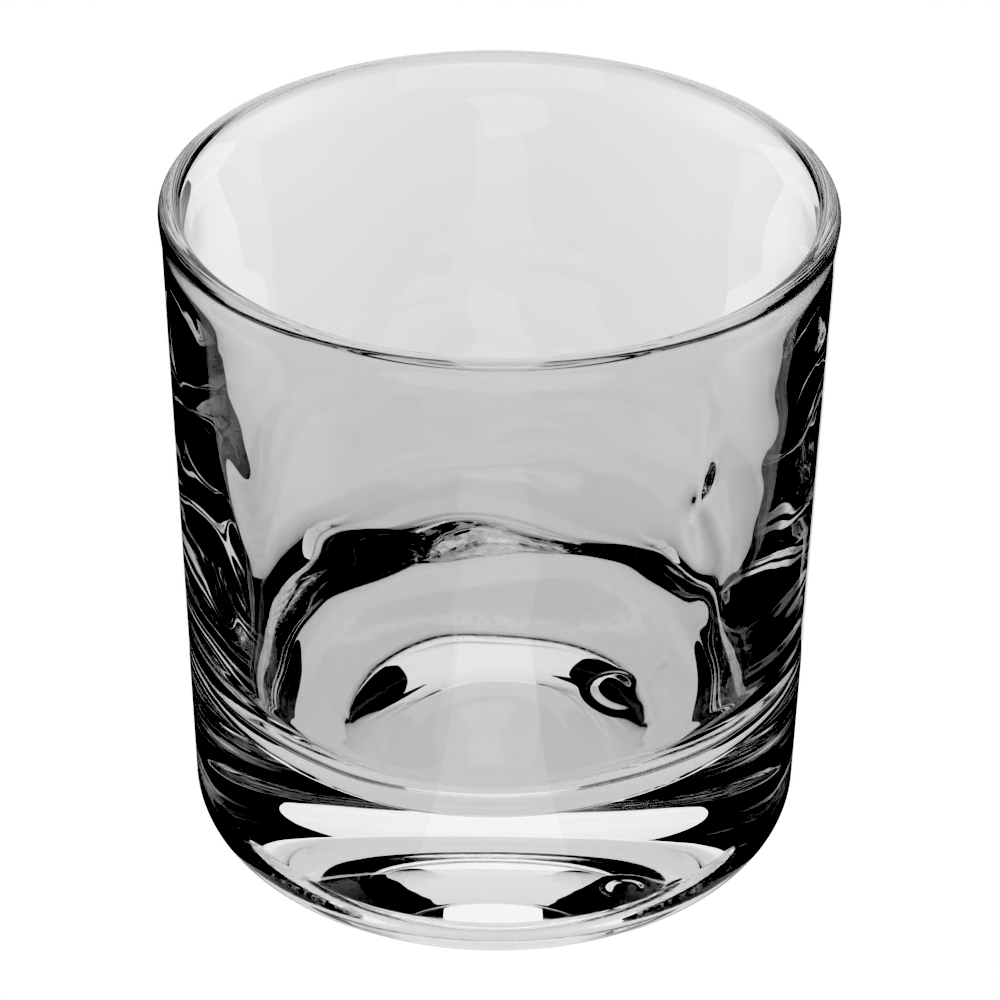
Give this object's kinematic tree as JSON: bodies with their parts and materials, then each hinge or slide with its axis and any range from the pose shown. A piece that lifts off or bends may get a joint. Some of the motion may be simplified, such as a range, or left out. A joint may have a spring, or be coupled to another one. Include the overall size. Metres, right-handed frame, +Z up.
{
  "type": "whiskey tumbler",
  "caption": "Low, heavy-based drinking glass: slightly tapered round wall, rounded rim, softly three-sided cavity and a domed recess under the foot.",
  "frame": {"origin": "centre of the foot, on the surface that the glass stands on", "axes": "+Z up along the glass's axis; -Y is the side that the picture was taken from, with +X to its right"},
  "size_m": [0.0848, 0.0848, 0.09],
  "materials": {
    "clear_glass": "clear fire-polished soda-lime glass"
  },
  "bodies": {
    "root": {"tumbler": "clear_glass"}
  },
  "joints": []
}
